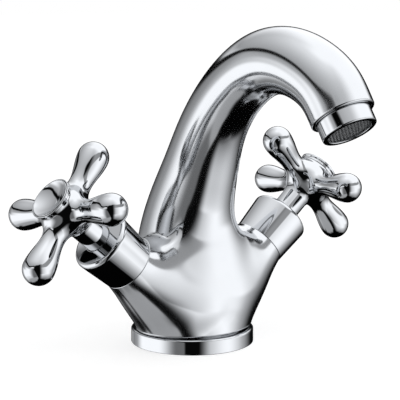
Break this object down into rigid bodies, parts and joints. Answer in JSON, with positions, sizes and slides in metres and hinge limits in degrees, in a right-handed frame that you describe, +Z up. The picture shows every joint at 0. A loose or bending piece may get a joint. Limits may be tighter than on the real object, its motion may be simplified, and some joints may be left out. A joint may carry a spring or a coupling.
{
  "type": "basin mixer tap",
  "caption": "Deck-mounted basin mixer tap with a fixed swan-neck spout, a cross handle on each angled valve arm, a screwed aerator and a loose base ring",
  "frame": {"origin": "centre of the base ring's underside, where the tap meets the deck", "axes": "+Z up; -Y towards the user, the way the spout reaches; +X to the user's right, the cold side"},
  "size_m": [0.1877, 0.1418, 0.1446],
  "materials": {
    "chrome_body": "polished chrome plate on cast brass",
    "chrome_trim": "polished chrome plate",
    "chrome_handle": "polished chrome plate",
    "chrome_cap": "polished chrome plate",
    "valve_brass": "machined",
    "mesh_steel": "woven wire",
    "screw_steel": "satin",
    "grey_plastic": "moulded",
    "disc_ceramic": "lapped ceramic",
    "black_rubber": "matt"
  },
  "bodies": {
    "tap_body": {"body_casting": "chrome_body", "base_ring": "chrome_trim", "base_gasket": "black_rubber", "aerator_collar": "chrome_trim", "aerator_mesh": "mesh_steel", "aerator_insert": "grey_plastic", "aerator_washer": "black_rubber", "hot_bonnet": "chrome_trim", "hot_valve_body": "valve_brass", "hot_valve_seal": "black_rubber", "hot_seat_seal": "black_rubber", "hot_fixed_disc": "disc_ceramic", "cold_bonnet": "chrome_trim", "cold_valve_body": "valve_brass", "cold_valve_seal": "black_rubber", "cold_seat_seal": "black_rubber", "cold_fixed_disc": "disc_ceramic"},
    "hot_handle_group": {"hot_handle": "chrome_handle", "hot_cap": "chrome_cap", "hot_handle_screw": "screw_steel", "hot_spindle": "valve_brass", "hot_spindle_ring": "black_rubber", "hot_moving_disc": "disc_ceramic"},
    "cold_handle_group": {"cold_handle": "chrome_handle", "cold_cap": "chrome_cap", "cold_handle_screw": "screw_steel", "cold_spindle": "valve_brass", "cold_spindle_ring": "black_rubber", "cold_moving_disc": "disc_ceramic"}
  },
  "joints": [
    {"name": "hot_turn", "type": "hinge", "parent": "tap_body", "child": "hot_handle_group", "pos_m": [-0.06922, -0.0019, 0.06677], "axis": [-0.7683, 0, 0.6401], "range_deg": [0, 90]},
    {"name": "cold_turn", "type": "hinge", "parent": "tap_body", "child": "cold_handle_group", "pos_m": [0.06922, -0.0019, 0.06677], "axis": [0.7683, 0, 0.6401], "range_deg": [-90, 0]}
  ]
}
